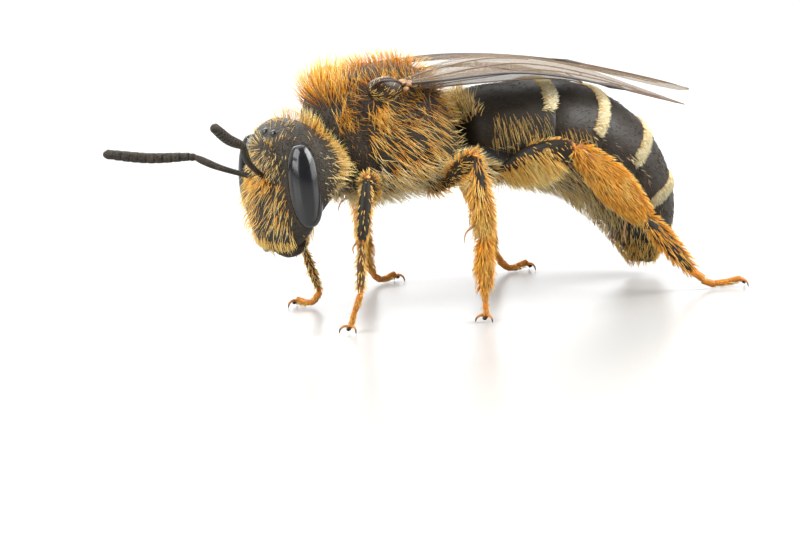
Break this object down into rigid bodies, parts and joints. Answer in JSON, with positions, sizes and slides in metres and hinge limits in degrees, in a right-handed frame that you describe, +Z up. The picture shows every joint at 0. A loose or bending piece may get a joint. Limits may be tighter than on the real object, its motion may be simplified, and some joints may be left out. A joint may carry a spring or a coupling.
{
  "type": "bee",
  "caption": "Life-size still model of a standing bee with folded wings, raised feelers, furry body and banded abdomen.",
  "frame": {"origin": "centre of the floor area under the whole bee, with Z = 0 on the floor under its feet", "axes": "-Y towards the head, +Y towards the wing tips, +X to the bee's own left, +Z up"},
  "size_m": [0.0064, 0.0126, 0.0056],
  "materials": {
    "shell": "satin black chitin",
    "fur": "golden brown hair over black chitin",
    "eye": "polished black",
    "band": "satin black with cream hair bands",
    "wing": "clear smoky brown membrane",
    "orange": "orange hair over orange-brown chitin"
  },
  "bodies": {
    "root": {"abdomen_segment_1": "band", "abdomen_segment_2": "band", "abdomen_segment_3": "band", "abdomen_segment_4": "band", "abdomen_segment_5": "band", "abdomen_segment_6": "band", "antenna_flagellum_left": "shell", "antenna_flagellum_right": "shell", "antenna_scape_left": "shell", "antenna_scape_right": "shell", "eye_left": "eye", "eye_right": "eye", "forewing_left": "wing", "forewing_right": "wing", "head": "fur", "hindwing_left": "wing", "hindwing_right": "wing", "left_front_basitarsus": "orange", "left_front_coxa": "shell", "left_front_femur": "fur", "left_front_foot": "orange", "left_front_tibia": "orange", "left_hind_basitarsus": "orange", "left_hind_coxa": "shell", "left_hind_femur": "fur", "left_hind_foot": "orange", "left_hind_tibia": "orange", "left_middle_basitarsus": "orange", "left_middle_coxa": "shell", "left_middle_femur": "fur", "left_middle_foot": "orange", "left_middle_tibia": "orange", "mandible_left": "shell", "mandible_right": "shell", "mesothorax": "fur", "mouthparts": "shell", "pronotum": "fur", "propodeum": "fur", "right_front_basitarsus": "orange", "right_front_coxa": "shell", "right_front_femur": "fur", "right_front_foot": "orange", "right_front_tibia": "orange", "right_hind_basitarsus": "orange", "right_hind_coxa": "shell", "right_hind_femur": "fur", "right_hind_foot": "orange", "right_hind_tibia": "orange", "right_middle_basitarsus": "orange", "right_middle_coxa": "shell", "right_middle_femur": "fur", "right_middle_foot": "orange", "right_middle_tibia": "orange", "scutellum": "fur", "tegula_left": "shell", "tegula_right": "shell"}
  },
  "joints": []
}
